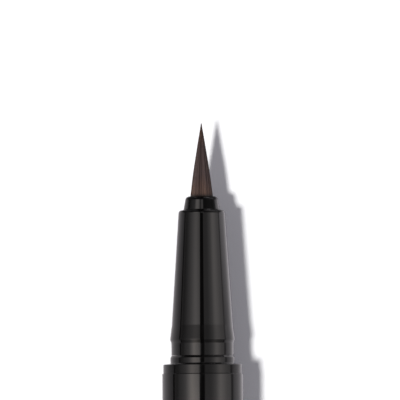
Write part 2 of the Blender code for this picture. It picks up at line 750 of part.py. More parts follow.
def make_inner_cap_spring(cap):
    points = spring_points()
    gap = least_gap(points, SPRING_WIRE, SPRING_TURN_POINTS)
    print(f"spring's least gap to itself: {gap * 1000:.2f} mm")
    curve = bpy.data.curves.new("inner_cap_spring", "CURVE")
    curve.dimensions = "3D"
    curve.bevel_depth = SPRING_WIRE
    curve.bevel_resolution = 1
    curve.use_fill_caps = True
    spline = curve.splines.new("POLY")
    spline.points.add(len(points) - 1)
    for spline_point, place in zip(spline.points, points):
        spline_point.co = (*place, 1.0)
    curve.materials.append(steel)
    obj = bpy.data.objects.new("inner_cap_spring", curve)
    parts.objects.link(obj)
    obj.parent = cap
    return obj


def make_pen(pen):
    make_tail_plug(pen)
    make_barrel(pen)
    make_ink_tank(pen)
    make_tank_seal(pen)
    make_stirring_ball(pen)
    make_coupling(pen)
    make_section_seal(pen)
    make_comb_collector(pen)
    make_core_sleeve(pen)
    make_feed_core(pen)
    make_front_section(pen)
    make_nozzle(pen)
    make_brush_heel(pen)
    make_brush_tip(pen)


def make_cap(cap, slider):
    make_cap_shell(cap)
    make_cap_crown(cap)
    make_inner_cap_guide(cap)
    make_inner_cap_spring(cap)
    make_inner_cap(slider)
    make_inner_cap_seal(slider)


clear_scene()
parts = new_collection(PARTS)
cutters = new_collection(CUTTERS)

black_gloss = new_material("black_gloss_plastic", (0.012, 0.011, 0.011), 0.16)
black_satin = new_material("black_satin_plastic", (0.014, 0.013, 0.013), 0.28)
natural_plastic = new_material("natural_plastic", (0.72, 0.70, 0.66), 0.35)
white_plastic = new_material("white_plastic", (0.80, 0.79, 0.77), 0.35)
collector_resin = new_material("collector_resin", (0.62, 0.60, 0.55), 0.40)
soft_rubber = new_material("soft_rubber", (0.05, 0.05, 0.05), 0.70)
core_fibre = new_material("core_fibre", (0.12, 0.07, 0.05), 0.90)
filament = new_material("brown_filament", (0.062, 0.042, 0.036), 0.55)
steel = new_material("steel", (0.62, 0.62, 0.63), 0.22, 1.0)

# The pen lies on a facet, half a step from a corner of its outline
whole_length = CAP_LIP_OFF + CAP_LENGTH + SEAM + CROWN_HEAD
half_step = math.pi / OUTER_STEPS
axis_height = BARREL_RADIUS * math.cos(half_step)
pen_axis = new_empty("pen_axis", (-whole_length / 2, 0.0, axis_height))
pen_axis.rotation_mode = "ZYX"
pen_axis.rotation_euler = (0.0, math.radians(90), half_step)
cap_slide = new_empty("cap_slide", (0.0, 0.0, CAP_LIP_OFF), pen_axis)
inner_cap_slide = new_empty("inner_cap_slide", (0.0, 0.0, 0.0), cap_slide)

make_pen(pen_axis)
make_cap(cap_slide, inner_cap_slide)
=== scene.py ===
"""Looks of the eyebrow pen: finely turned shells, a filament brush and studio light.

Metres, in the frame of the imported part: the pen lies along +X, +Z is up. A turned
piece is given as its outline, a list of (x, radius, edge) corners that goes out over
its front end, back along its outer side, in over its rear end and, where the piece
is open, forward through its bore. The edge is the radius that the corner is rounded
to.
"""

import math
import random

import bpy
from mathutils import Matrix, Vector


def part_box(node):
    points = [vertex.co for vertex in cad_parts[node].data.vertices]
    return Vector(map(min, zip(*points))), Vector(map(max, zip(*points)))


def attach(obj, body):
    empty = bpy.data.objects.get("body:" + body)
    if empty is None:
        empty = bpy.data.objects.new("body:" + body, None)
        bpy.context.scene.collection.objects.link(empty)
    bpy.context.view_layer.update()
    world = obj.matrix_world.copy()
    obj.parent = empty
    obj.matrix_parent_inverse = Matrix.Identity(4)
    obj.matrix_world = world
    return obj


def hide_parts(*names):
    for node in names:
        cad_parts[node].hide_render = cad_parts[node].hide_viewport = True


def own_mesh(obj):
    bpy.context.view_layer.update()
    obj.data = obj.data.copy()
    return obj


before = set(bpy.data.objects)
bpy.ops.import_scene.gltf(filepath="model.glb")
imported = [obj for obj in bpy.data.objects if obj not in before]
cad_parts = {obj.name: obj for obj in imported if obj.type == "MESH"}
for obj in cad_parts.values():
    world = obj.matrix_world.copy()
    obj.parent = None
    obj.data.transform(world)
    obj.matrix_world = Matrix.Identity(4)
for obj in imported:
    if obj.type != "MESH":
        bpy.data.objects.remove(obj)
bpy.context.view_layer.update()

barrel_low, barrel_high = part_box("barrel")
RADIUS = (barrel_high.z - barrel_low.z) / 2
AXIS = (barrel_high.z + barrel_low.z) / 2
ALONG = Vector((1.0, 0.0, 0.0))


def span(node):
    """The rear and front ends of a CAD node along the pen."""
    low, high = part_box(node)
    return low.x, high.x


# Node materials


class Graph:
    """The nodes of a tree, made one after another."""

    def __init__(self, tree):
        self.nodes = tree.nodes
        self.links = tree.links

    def add(self, kind, inputs=None, **settings):
        node = self.nodes.new(kind)
        for key, value in settings.items():
            setattr(node, key, value)
        for key, value in (inputs or {}).items():
            self.feed(node, key, value)
        return node

    def feed(self, node, key, value):
        socket = node.inputs[key]
        if isinstance(value, bpy.types.NodeSocket):
            self.links.new(value, socket)
        else:
            socket.default_value = value

    def calculate(self, operation, *values):
        node = self.add("ShaderNodeMath", dict(enumerate(values)), operation=operation)
        return node.outputs[0]

    def between(self, value, start, end, low=0.0, high=1.0):
        """Go from low to high while the value goes from start to end, and no further."""
        node = self.add(
            "ShaderNodeMapRange",
            {"Value": value, "From Min": start, "From Max": end, "To Min": low, "To Max": high},
        )
        return node.outputs["Result"]

    def mix(self, factor, first, second, kind="MIX"):
        node = self.add(
            "ShaderNodeMix", {0: factor, 6: first, 7: second}, data_type="RGBA", blend_type=kind
        )
        return node.outputs[2]

    def ramp(self, value, stops):
        """A colour for each value from 0 to 1, by its stops, as (place, colour)."""
        node = self.add("ShaderNodeValToRGB", {"Fac": value})
        elements = node.color_ramp.elements
        while len(elements) < len(stops):
            elements.new(1.0)
        for element, (place, _) in zip(elements, stops):
            element.position = place
        for element, (_, colour) in zip(elements, stops):
            element.color = (*colour, 1.0)
        return node.outputs["Color"]


class Material(Graph):
    """A material, whose nodes end in its shader."""

    def __init__(self, name):
        self.material = bpy.data.materials.new(name)
        self.material.use_nodes = True
        super().__init__(self.material.node_tree)
        self.shader = self.nodes["Principled BSDF"]

    def place(self, along=1.0):
        """The piece's own coordinates, drawn out along the pen where the grain runs."""
        coordinates = self.add("ShaderNodeTexCoord").outputs["Object"]
        mapping = self.add(
            "ShaderNodeMapping", {"Vector": coordinates, "Scale": (along, 1.0, 1.0)}
        )
        return mapping.outputs["Vector"]

    def noise(self, place, scale, detail=3.0, roughness=0.5):
        node = self.add(
            "ShaderNodeTexNoise",
            {"Vector": place, "Scale": scale, "Detail": detail, "Roughness": roughness},
        )
        return node.outputs["Fac"]

    def spread(self, noise, low=0.0, high=1.0):
        """A noise, which keeps mostly to its middle, spread out from low to high."""
        return self.between(noise, 0.3, 0.7, low, high)

    def bump(self, height, distance):
        node = self.add("ShaderNodeBump", {"Height": height, "Distance": distance})
        return node.outputs["Normal"]

    def finish(self, **inputs):
        for key, value in inputs.items():
            self.feed(self.shader, key.replace("_", " "), value)
        return self.material


def rgb(red, green, blue):
    return (red, green, blue, 1.0)


def moulded(name, dark, light, rough, ripple, ior=1.5):
    """Moulded plastic: a faint cloudiness, a finish that varies, and the ripple of the mould."""
    graph = Material(name)
    place = graph.place()
    cloud = graph.noise(place, scale=420.0, detail=4.0)
    handled = graph.noise(graph.place(along=0.35), scale=1500.0, detail=5.0, roughness=0.6)
    fine = graph.noise(place, scale=9000.0, detail=2.0)
    return graph.finish(
        Base_Color=graph.mix(graph.spread(cloud), rgb(*dark), rgb(*light)),
        Roughness=graph.spread(handled, *rough),
        IOR=ior,
        Normal=graph.bump(fine, ripple),
    )


def steel_wire(name):
    """Bright drawn steel with fine lines."""
    graph = Material(name)
    lines = graph.noise(graph.place(along=0.2), scale=16000.0)
    cloud = graph.noise(graph.place(), scale=900.0)
    return graph.finish(
        Base_Color=graph.mix(cloud, rgb(0.55, 0.55, 0.56), rgb(0.68, 0.68, 0.68)),
        Metallic=1.0,
        Roughness=graph.spread(lines, 0.16, 0.30),
        Normal=graph.bump(lines, 0.000002),
    )


def bonded_fibre(name):
    """A rod of fibres that run along the pen, dark with ink."""
    graph = Material(name)
    strands = graph.noise(graph.place(along=0.02), scale=14000.0)
    wet = graph.noise(graph.place(along=0.4), scale=500.0)
    tint = graph.mix(strands, rgb(0.030, 0.018, 0.014), rgb(0.16, 0.11, 0.085))
    return graph.finish(
        Base_Color=graph.mix(graph.spread(wet, 0.0, 0.6), tint, rgb(0.035, 0.02, 0.016)),
        Roughness=graph.spread(wet, 0.45, 0.85),
        Normal=graph.bump(strands, 0.00002),
    )


def brush_filament(name):
    """Inked filaments, each its own brown, paler where the ink is thin near the root and tip, and
    darkened by painted shade where they leave the nozzle.
    """
    graph = Material(name)
    tone = graph.add("ShaderNodeAttribute", attribute_name="tone").outputs["Fac"]
    along = graph.add("ShaderNodeAttribute", attribute_name="along").outputs["Fac"]
    inked = graph.noise(graph.place(along=0.35), scale=900.0)
    fine = graph.noise(graph.place(along=0.05), scale=12000.0)
    body = graph.mix(tone, rgb(0.026, 0.0165, 0.0160), rgb(0.088, 0.059, 0.055))
    thin = graph.mix(tone, rgb(0.050, 0.028, 0.022), rgb(0.128, 0.077, 0.057))
    near_root = graph.between(along, 0.08, 0.42, 1.0, 0.0)
    patches = graph.between(graph.calculate("MULTIPLY", near_root, inked), 0.25, 0.6)
    near_tip = graph.between(along, 0.68, 0.84, 0.0, 0.9)
    colour = graph.mix(graph.calculate("MAXIMUM", patches, near_tip), body, thin)
    # Darkest inside the nozzle, where the filaments are fused, and fading out over the first 0.045
    # of the brush's free length: outside the nozzle this is painted shade at the brush's root.
    fused_and_root_shade = graph.between(along, 0.0, 0.045, 1.0, 0.0)
    return graph.finish(
        Base_Color=graph.mix(fused_and_root_shade, colour, rgb(0.010, 0.008, 0.007)),
        Roughness=graph.spread(fine, 0.42, 0.62),
        Sheen_Weight=0.2,
        Sheen_Roughness=0.3,
        Normal=graph.bump(fine, 0.000004),
    )


# How bright gloss sees the paper, as a share of its own brightness, by the place across the
# pen, up to PAPER_REACH on each side: beside most of the pen, and beside its front. The first
# turns into the second between the two places along the pen in PAPER_FRONT.
PAPER_REACH = 0.3
PAPER_IN_GLOSS = (
    (-0.300, 0.25), (-0.221, 0.30), (-0.078, 0.55), (-0.047, 0.78), (-0.021, 0.95),
    (-0.014, 1.08), (-0.008, 1.15), (0.000, 0.96), (0.009, 0.74), (0.020, 0.56),
    (0.032, 0.45), (0.056, 0.37), (0.110, 0.30), (0.125, 0.02), (0.300, 0.02),
)
PAPER_IN_GLOSS_FRONT = (
    (-0.300, 0.80), (-0.221, 0.90), (-0.078, 1.08), (-0.047, 1.45), (-0.021, 1.65),
    (-0.014, 1.38), (-0.008, 1.08), (0.000, 0.94), (0.009, 0.78), (0.020, 0.60),
    (0.032, 0.48), (0.056, 0.40), (0.110, 0.32), (0.125, 0.02), (0.300, 0.02),
)
PAPER_FRONT = (0.012, 0.028)
PAPER_GLOSS_TINT = (0.92, 0.874, 0.897)
# From beside the brush's root on, gloss sees it fade to a level, a little later the further it
# is to the side. Further ahead it comes back to another.
PAPER_AHEAD = (0.023, 0.0265)
PAPER_AHEAD_SLOPE = 0.2
PAPER_AHEAD_LEVEL = 0.15
PAPER_BEYOND = (0.048, 0.064)
PAPER_BEYOND_LEVEL = 0.7
# Gloss sees a glow in the shadow on the pen's right, which rises and falls between these
PAPER_GLOW = 0.25
GLOW_FAR = (-0.014, -0.009)
GLOW_NEAR = (-0.006, -0.0035)
# The camera sees the paper lifted, and more so far from the origin
PAPER_LIFT = 0.103
PAPER_LIFT_FAR = 0.6
PAPER_FAR = (0.15, 0.9)
PAPER_LIFT_TINT = (1.0, 0.98, 1.09)


def paper(name):
    """The plain pale surface that the pen lies on, as it is and as gloss and the camera see it."""
    graph = Material(name)
    place = graph.place()
    along, across = graph.add("ShaderNodeSeparateXYZ", {0: place}).outputs[:2]
    cloud = graph.noise(place, scale=30.0)
    sheet = graph.mix(cloud, rgb(0.975, 0.975, 0.975), rgb(0.985, 0.985, 0.985))

    reach = graph.between(across, -PAPER_REACH, PAPER_REACH)
    bands = []
    for levels in (PAPER_IN_GLOSS, PAPER_IN_GLOSS_FRONT):
        stops = [
            (0.5 + y / PAPER_REACH / 2, [level * part for part in PAPER_GLOSS_TINT])
            for y, level in levels
        ]
        bands.append(graph.ramp(reach, stops))
    band = graph.mix(graph.between(along, *PAPER_FRONT), *bands)
    aside = graph.calculate("ABSOLUTE", across)
    wide = graph.calculate("MULTIPLY_ADD", aside, -PAPER_AHEAD_SLOPE, along)
    behind = graph.between(wide, *PAPER_AHEAD, 1.0, PAPER_AHEAD_LEVEL)
    beyond = graph.between(along, *PAPER_BEYOND, 0.0, PAPER_BEYOND_LEVEL)
    seen = graph.calculate("MAXIMUM", behind, beyond)
    in_gloss = graph.mix(1.0, sheet, graph.mix(seen, rgb(0.0, 0.0, 0.0), band), "MULTIPLY")

    ray = graph.add("ShaderNodeLightPath").outputs
    rising = graph.between(across, *GLOW_FAR, 0.0, PAPER_GLOW)
    falling = graph.between(across, *GLOW_NEAR, 1.0, 0.0)
    glow = graph.calculate("MULTIPLY", graph.calculate("MULTIPLY", rising, falling), behind)
    glow = graph.calculate("MULTIPLY", glow, ray["Is Glossy Ray"])
    off = graph.add("ShaderNodeVectorMath", {0: place}, operation="LENGTH").outputs["Value"]
    lift = graph.between(off, *PAPER_FAR, PAPER_LIFT, PAPER_LIFT_FAR)
    lift = graph.calculate("MULTIPLY", lift, ray["Is Camera Ray"])
    return graph.finish(
        Base_Color=graph.mix(ray["Is Glossy Ray"], sheet, in_gloss),
        Roughness=0.9,
        Specular_IOR_Level=0.0,
        Emission_Color=rgb(*PAPER_LIFT_TINT),
        Emission_Strength=graph.calculate("ADD", lift, glow),
    )


lacquer = moulded(
    "black_lacquer",
    dark=(0.0018, 0.0017, 0.0017), light=(0.0026, 0.0024, 0.0024),
    rough=(0.030, 0.055), ripple=0.0000002, ior=1.55,
)
gloss = moulded(
    "black_gloss_plastic",
    dark=(0.0018, 0.0017, 0.0017), light=(0.0027, 0.0025, 0.0025),
    rough=(0.035, 0.065), ripple=0.0000002, ior=1.53,
)
collar_gloss = moulded(
    "black_collar_plastic",
    dark=(0.0020, 0.0019, 0.0019), light=(0.0030, 0.0028, 0.0028),
    rough=(0.08, 0.12), ripple=0.0000003, ior=1.46,
)
satin = moulded(
    "black_satin_plastic",
    dark=(0.0020, 0.0019, 0.0019), light=(0.0032, 0.0030, 0.0030),
    rough=(0.05, 0.08), ripple=0.0000003, ior=1.48,
)
natural = moulded(
    "natural_plastic",
    dark=(0.66, 0.64, 0.60), light=(0.74, 0.72, 0.68), rough=(0.30, 0.42), ripple=0.000002,
)
white = moulded(
    "white_plastic",
    dark=(0.76, 0.75, 0.73), light=(0.82, 0.81, 0.79), rough=(0.28, 0.40), ripple=0.000002,
)
resin = moulded(
    "collector_resin",
    dark=(0.55, 0.53, 0.48), light=(0.64, 0.62, 0.57), rough=(0.34, 0.48), ripple=0.000003,
)
rubber = moulded(
    "seal_rubber",
    dark=(0.040, 0.040, 0.040), light=(0.062, 0.060, 0.060), rough=(0.60, 0.80), ripple=0.000005,
)
steel = steel_wire("steel")
fibre = bonded_fibre("core_fibre")
filament = brush_filament("brush_filament")


# Turned pieces
STEPS = 160               # faces round a turned piece
EDGE_POINTS = 5           # points in a rounded edge
SIDE_USED = 0.96          # share of a side that its two rounded edges may take up
SUPPORT = 0.00003         # from a rounded edge to the loop that keeps the face beside it flat
SUPPORTED_SIDE = SUPPORT * 5  # length above which a side gets such loops
SHARP_ANGLE = 32          # degrees between two faces, above which their edge is shaded sharp

# Radii that edges are rounded to, from sharp to round
SHARP = 0
RING_EDGE = 0.00001
KEEN = 0.00002
FINE = 0.00003
FOOT_EDGE = 0.00004
CRISP = 0.00005
NEAT = 0.00006
SLIGHT = 0.00008
EASED = 0.0001
SOFT = 0.00012
BLUNT = 0.00015
BEAD_EDGE = 0.00018
FULL = 0.0002
ROUND = 0.0003
SECTION_RIM = 0.00038
NOZZLE_RIM = 0.0005
THIMBLE_EDGE = 0.0006
END_EDGE = 0.0007


def round_corner(before, corner, after, edge, rooms):
    """Points of the arc that rounds a corner, kept within its rooms on the sides beside it."""
    back = before - corner
    on = after - corner
    opening = back.angle(on)
    tangent = min(edge / math.tan(opening / 2), *rooms)
    radius = tangent * math.tan(opening / 2)
    centre = corner + (back.normalized() + on.normalized()).normalized() * (
        radius / math.sin(opening / 2)
    )
    first = corner + back.normalized() * tangent - centre
    last = corner + on.normalized() * tangent - centre
    sweep = first.angle_signed(last)
    points = []
    for i in range(EDGE_POINTS):
        turn = Matrix.Rotation(-sweep * i / (EDGE_POINTS - 1), 2)
        points.append(centre + turn @ first)
    return points


def outline_points(outline, closed):
    """The outline with its edges rounded and with loops that keep its long faces flat."""
    corners = [Vector((x, radius)) for x, radius, _ in outline]
    rounded = []
    for i, (_, _, edge) in enumerate(outline):
        if edge == SHARP:
            rounded.append(corners[i])
            continue
        rooms = []
        for j in (i - 1, (i + 1) % len(corners)):
            side = (corners[j] - corners[i]).length
            rooms.append(side * SIDE_USED * edge / (edge + outline[j][2]))
        after = corners[(i + 1) % len(corners)]
        rounded += round_corner(corners[i - 1], corners[i], after, edge, rooms)
    points = []
    for i, point in enumerate(rounded):
        points.append(point)
        if i == len(rounded) - 1 and not closed:
            break
        after = rounded[(i + 1) % len(rounded)]
        step = after - point
        if step.length > SUPPORTED_SIDE:
            points.append(point + step.normalized() * SUPPORT)
            points.append(after - step.normalized() * SUPPORT)
    return points


def ring_faces(first, second, steps):
    """Faces between two rings of vertices, where a ring of one vertex is a point on the axis."""
    faces = []
    for i in range(steps):
        j = (i + 1) % steps
        if len(first) == 1:
            faces.append((first[0], second[i], second[j]))
        elif len(second) == 1:
            faces.append((first[j], first[i], second[0]))
        else:
            faces.append((first[j], first[i], second[i], second[j]))
    return faces


def strand_faces(rings, sides):
    """Faces of a strand through rings of vertices, with its two ends closed."""
    faces = []
    for first, second in zip(rings, rings[1:]):
        faces += ring_faces(second, first, sides)
    faces.append(tuple(reversed(rings[0])))
    faces.append(tuple(rings[-1]))
    return faces


def new_piece(name, verts, faces, material, body):
    mesh = bpy.data.meshes.new(name)
    mesh.from_pydata(verts, [], faces)
    mesh.validate()
    mesh.materials.append(material)
    mesh.shade_smooth()
    mesh.set_sharp_from_angle(angle=math.radians(SHARP_ANGLE))
    piece = bpy.data.objects.new(name, mesh)
    bpy.context.scene.collection.objects.link(piece)
    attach(piece, body)
    return piece


def turned(name, outline, material, body, closed=True):
    """Turn an outline round the pen's axis. An open one starts and ends on the axis."""
    verts = []
    rings = []
    for x, radius in outline_points(outline, closed):
        if radius == 0:
            rings.append([len(verts)])
            verts.append((x, 0.0, AXIS))
            continue
        rings.append(list(range(len(verts), len(verts) + STEPS)))
        for i in range(STEPS):
            angle = 2 * math.pi * i / STEPS
            verts.append((x, radius * math.cos(angle), AXIS + radius * math.sin(angle)))
    faces = []
    for first, second in zip(rings, rings[1:]):
        faces += ring_faces(first, second, STEPS)
    if closed:
        faces += ring_faces(rings[-1], rings[0], STEPS)
    return new_piece(name, verts, faces, material, body)


# Joints between pieces
SEAM = 0.0002             # room round and behind what goes into another piece
HAIRLINE = 0.00003        # what shows of the joint between two pieces that are pressed together

# Radii that several pieces share
INSERT = RADIUS - 0.0009  # of what is pressed into the barrel
COLLECTOR_BORE = 0.0024
SPIGOT = 0.00305
BRUSH = 0.00139
BOSS = 0.0018             # of the pins that hold the spring's ends
GUIDE = 0.0042
INNER_CAP = 0.00355
INNER_CAP_BORE = 0.0031

# The moulding gate's recess in an end face
GATE = 0.0009
GATE_DEPTH = 0.00006

CUP_WALL = 0.0009


def make_tail_plug():
    rear, front = span("tail_plug")
    head = span("barrel")[0] - HAIRLINE
    cup = INSERT - CUP_WALL
    outline = [
        (head, 0, SHARP), (head, cup, ROUND), (front, cup, EASED), (front, INSERT, ROUND),
        (head, INSERT, CRISP), (head, RADIUS, SOFT), (rear, RADIUS, END_EDGE),
        (rear, GATE + GATE_DEPTH, FINE), (rear + GATE_DEPTH, GATE, KEEN),
        (rear + GATE_DEPTH, 0, SHARP),
    ]
    piece = turned("tail_end", outline, lacquer, "pen", closed=False)
    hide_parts("tail_plug")


BARREL_WALL = 0.0007


def make_barrel():
    rear, front = span("barrel")
    bore = RADIUS - BARREL_WALL
    outline = [
        (front, bore, EASED), (front, RADIUS, NEAT), (rear, RADIUS, NEAT), (rear, bore, EASED),
    ]
    piece = turned("outer_barrel", outline, lacquer, "pen")
    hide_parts("barrel")


COLLAR = 0.00486
COLLAR_LENGTH = 0.00112
COLLAR_CHAMFER = 0.00012
RING = 0.00397
RING_DRAFT = 0.000005     # how much narrower the ring is at its rear
RING_FRONT = 0.00382
RING_CHAMFER = 0.00025
# The groove of the seal ring: from the spigot's front to its middle, half its width, its depth
GROOVE_PLACE = 0.0014
HALF_GROOVE = 0.00035
GROOVE_DEPTH = 0.00035
# The socket for the tank's neck
SOCKET_WALL = 0.0004
SOCKET_DEPTH = 0.0050


def make_coupling():
    rear, front = span("coupling")
    barrel_front = span("barrel")[1]
    collar_rear = barrel_front + HAIRLINE / 3
    collar_front = barrel_front + COLLAR_LENGTH
    ring_rear = collar_front + COLLAR_CHAMFER
    ring_front = span("front_section")[0] - HAIRLINE
    ring_edge = ring_front - RING_CHAMFER
    groove = front - GROOVE_PLACE
    groove_floor = SPIGOT - GROOVE_DEPTH
    socket = INSERT - SOCKET_WALL
    socket_floor = rear + SOCKET_DEPTH
    outline = [
        (front, COLLECTOR_BORE, EASED), (front, SPIGOT, ROUND),
        (groove + HALF_GROOVE, SPIGOT, CRISP), (groove + HALF_GROOVE, groove_floor, CRISP),
        (groove - HALF_GROOVE, groove_floor, CRISP), (groove - HALF_GROOVE, SPIGOT, CRISP),
        (ring_front, SPIGOT, SHARP), (ring_front, RING_FRONT, RING_EDGE),
        (ring_edge, RING, CRISP), (ring_rear, RING - RING_DRAFT, EASED),
        (collar_front, COLLAR, NEAT), (collar_rear, COLLAR, KEEN),
        (collar_rear, INSERT, CRISP), (rear, INSERT, ROUND), (rear, socket, EASED),
        (socket_floor, socket, EASED), (socket_floor, COLLECTOR_BORE, EASED),
    ]
    piece = turned("stepped_coupling", outline, collar_gloss, "pen")
    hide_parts("coupling")


# Radii of the front section, and how far from its front they lie
SECTION_FRONT = 0.00285
WAIST, WAIST_PLACE = 0.003775, 0.0141
BEAD, BEAD_PLACE = 0.0040, 0.01587
NECK, NECK_PLACE = 0.00384, 0.0163
STEP_PLACE = 0.0042       # where the bore's step is
LIP_PROUD = 0.00002       # how far the front's rim reaches ahead of the CAD's


def make_front_section():
    rear, front = span("front_section")
    lip = front + LIP_PROUD
    step = front - STEP_PLACE
    seat = span("coupling")[1] + SEAM
    bore = COLLECTOR_BORE + SEAM
    outline = [
        (lip, COLLECTOR_BORE, FINE), (lip, SECTION_FRONT, SECTION_RIM),
        (front - WAIST_PLACE, WAIST, SHARP), (front - BEAD_PLACE, BEAD, BEAD_EDGE),
        (front - NECK_PLACE, NECK, NEAT), (rear, NECK, KEEN),
        (rear, SPIGOT + SEAM, EASED), (seat, SPIGOT + SEAM, EASED), (seat, bore, EASED),
        (step, bore, EASED), (step, COLLECTOR_BORE, CRISP),
    ]
    piece = turned("tapered_section", outline, gloss, "pen")
    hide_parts("front_section")


NOZZLE_FRONT = 0.00194
NOZZLE_BASE = 0.00224
NOZZLE_FOOT = 0.00236
NOZZLE_RISE = 0.00004     # how far the rounded rim's corner lies ahead of the bore's edge
NOZZLE_WALL = 0.0003
FOOT_HEIGHT = 0.00012
FLANGE = 0.0008
BRUSH_ROOM = 0.00004      # between the brush and the bore
BORE_LENGTH = 0.0026


def make_nozzle():
    rear, front = span("nozzle")
    section_front = span("front_section")[1]
    foot = section_front + FOOT_HEIGHT
    flange = rear + FLANGE
    bore = BRUSH + BRUSH_ROOM
    bore_step = front - BORE_LENGTH
    counterbore = NOZZLE_BASE - NOZZLE_WALL
    outline = [
        (front, bore, KEEN), (front + NOZZLE_RISE, NOZZLE_FRONT, NOZZLE_RIM),
        (foot, NOZZLE_BASE, FOOT_EDGE), (section_front, NOZZLE_FOOT, KEEN),
        (flange, NOZZLE_FOOT, CRISP), (flange, COLLECTOR_BORE, CRISP),
        (rear, COLLECTOR_BORE, EASED), (rear, counterbore, EASED),
        (bore_step, counterbore, EASED), (bore_step, bore, EASED),
    ]
    piece = turned("brush_nozzle", outline, satin, "pen")
    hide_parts("nozzle")


# The brush
BRUSH_SEED = 7
BRUSH_RINGS = 19          # rings of strands round the one in the middle
RING_STRANDS = 6          # how many more strands a ring has than the ring inside it
STRAND_SHIFT = 0.35       # how far a strand may stand off its place in the ring, in places
RING_SHIFT = 0.12         # and off the ring itself, in rings
SHORTENING = 0.30         # share of the brush's length that the shortest strand lacks
ROOT_DEPTH = 0.0005       # how far the strands reach back into the nozzle
STRAND_SIDES = 5
STRAND_WIDTH = 0.53       # a strand's radius at the root, as a share of the rings' spacing
STRAND_TAPER = 0.55       # share of its thickness that a strand loses by its end,
TAPER_POWER = 4           # which goes by this power of the way along it
STRAND_SHARES = (0.0, 0.07, 0.15, 0.25, 0.37, 0.50, 0.63, 0.75, 0.86, 0.95, 1.0)
# The brush's outline: its radius at shares of its free length, as a share of its root radius
BRUSH_OUTLINE = (
    (0.0, 1.0), (0.143, 0.892), (0.348, 0.726), (0.553, 0.511), (0.758, 0.294), (0.86, 0.178),
    (0.963, 0.062), (1.0, 0.034),
)
# The clumps that ink draws the strands into, as waves: their number round the brush and start
CLUMP_WAVES = ((11, 0.4), (19, 2.1), (31, 1.2))
# The valleys between clumps: their depth as a share of the radius, and how fast they deepen
VALLEY_DEPTH = 0.06
VALLEY_GROWTH = 2.5
# How far strands turn together by the tip, in radians, and at how many places round the brush
GATHER = 0.035
GATHER_WAVES = 23
# The middle of the strands' tones, and how far a clump and chance move a strand from it
TONE_MIDDLE = 0.5
TONE_BY_CLUMP = 0.25
TONE_BY_CHANCE = 0.60


def outline_share(share):
    for (start, first), (end, last) in zip(BRUSH_OUTLINE, BRUSH_OUTLINE[1:]):
        if share <= end:
            return first + (last - first) * (share - start) / (end - start)
    return BRUSH_OUTLINE[-1][1]


def clump(angle):
    """How far the ink has drawn the strands together at an angle round the brush, from -1 to 1."""
    total = sum(math.sin(waves * angle + start) for waves, start in CLUMP_WAVES)
    return total / len(CLUMP_WAVES)


def strand_path(ring, angle, length_share, root, brush_length):
    """Stations of a strand: its place, and its thickness as a share of that at the root."""
    start = (root - ROOT_DEPTH, ring * math.cos(angle), ring * math.sin(angle))
    stations = [(Vector(start), 1.0)]
    for share in STRAND_SHARES:
        along = share * length_share
        size = outline_share(along)
        gathered = angle + GATHER * along * math.sin(GATHER_WAVES * angle)
        depth = VALLEY_DEPTH * min(along * VALLEY_GROWTH, 1.0)
        radius = ring * size * (1 - depth * (0.5 - 0.5 * clump(angle)))
        place = Vector((
            root + brush_length * along, radius * math.cos(gathered), radius * math.sin(gathered)
        ))
        stations.append((place, size * (1 - STRAND_TAPER * share ** TAPER_POWER)))
    return stations


def make_brush():
    """Over a thousand tapered filaments that run together to a point."""
    root = span("nozzle")[1]
    tip = span("brush_tip")[1]
    chance = random.Random(BRUSH_SEED)
    spacing = BRUSH / (BRUSH_RINGS + 0.5)
    verts = []
    faces = []
    tones = []
    shares = []
    for k in range(BRUSH_RINGS + 1):
        count = max(1, RING_STRANDS * k)
        for i in range(count):
            angle = 2 * math.pi * (i + STRAND_SHIFT * chance.uniform(-1, 1)) / count
            ring = spacing * (k + RING_SHIFT * chance.uniform(-1, 1))
            length_share = 1 - SHORTENING * chance.random() ** 2
            tone = TONE_MIDDLE + TONE_BY_CLUMP * clump(angle)
            tone += TONE_BY_CHANCE * chance.uniform(-1, 1)
            rings = []
            for place, thickness in strand_path(ring, angle, length_share, root, tip - root):
                wide = spacing * STRAND_WIDTH * thickness
                rings.append(list(range(len(verts), len(verts) + STRAND_SIDES)))
                for side in range(STRAND_SIDES):
                    turn = 2 * math.pi * side / STRAND_SIDES + angle
                    verts.append((
                        place.x,
                        place.y + wide * math.cos(turn),
                        AXIS + place.z + wide * math.sin(turn),
                    ))
                    tones.append(min(max(tone, 0.0), 1.0))
                    shares.append((place.x - root) / (tip - root))
            faces += strand_faces(rings, STRAND_SIDES)
    piece = new_piece("brush_filaments", verts, faces, filament, "pen")
    for name, values in (("tone", tones), ("along", shares)):
        attribute = piece.data.attributes.new(name, "FLOAT", "POINT")
        attribute.data.foreach_set("value", values)
    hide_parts("brush_tip")


def make_brush_root():
    """The melted-together end of the filaments, inside the nozzle."""
    rear = span("brush_tip")[0]
    front = span("nozzle")[1] - ROOT_DEPTH
    outline = [
        (front, 0, SHARP), (front, BRUSH, SLIGHT), (rear, BRUSH, BLUNT), (rear, 0, SHARP),
    ]
    turned("fused_root", outline, fibre, "pen", closed=False)


# The cap
CAP_BORE = 0.0044
CAP_MOUTH = 0.00426
CAP_RIB = 0.0041
RIB_PLACE = 0.0014        # from the cap's lip to its snap rib
# From the rib's start to the start and the end of its top, and to its own end
RIB_TOP_START = 0.0003
RIB_TOP_END = 0.0005
RIB_LENGTH = 0.0008


def make_cap_shell():
    lip, end = span("cap_shell")
    guide = span("inner_cap_guide")[0] - SEAM
    rib = lip + RIB_PLACE
    outline = [
        (end, CAP_BORE, EASED), (end, RADIUS, SOFT), (lip, RADIUS, FULL),
        (lip, CAP_MOUTH, FULL), (rib, CAP_MOUTH, EASED), (rib + RIB_TOP_START, CAP_RIB, BLUNT),
        (rib + RIB_TOP_END, CAP_RIB, BLUNT), (rib + RIB_LENGTH, CAP_MOUTH, EASED),
        (guide, CAP_MOUTH, CRISP), (guide, CAP_BORE, CRISP),
    ]
    piece = turned("outer_cap", outline, lacquer, "cap")
    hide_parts("cap_shell")


BOSS_HEIGHT = 0.0010


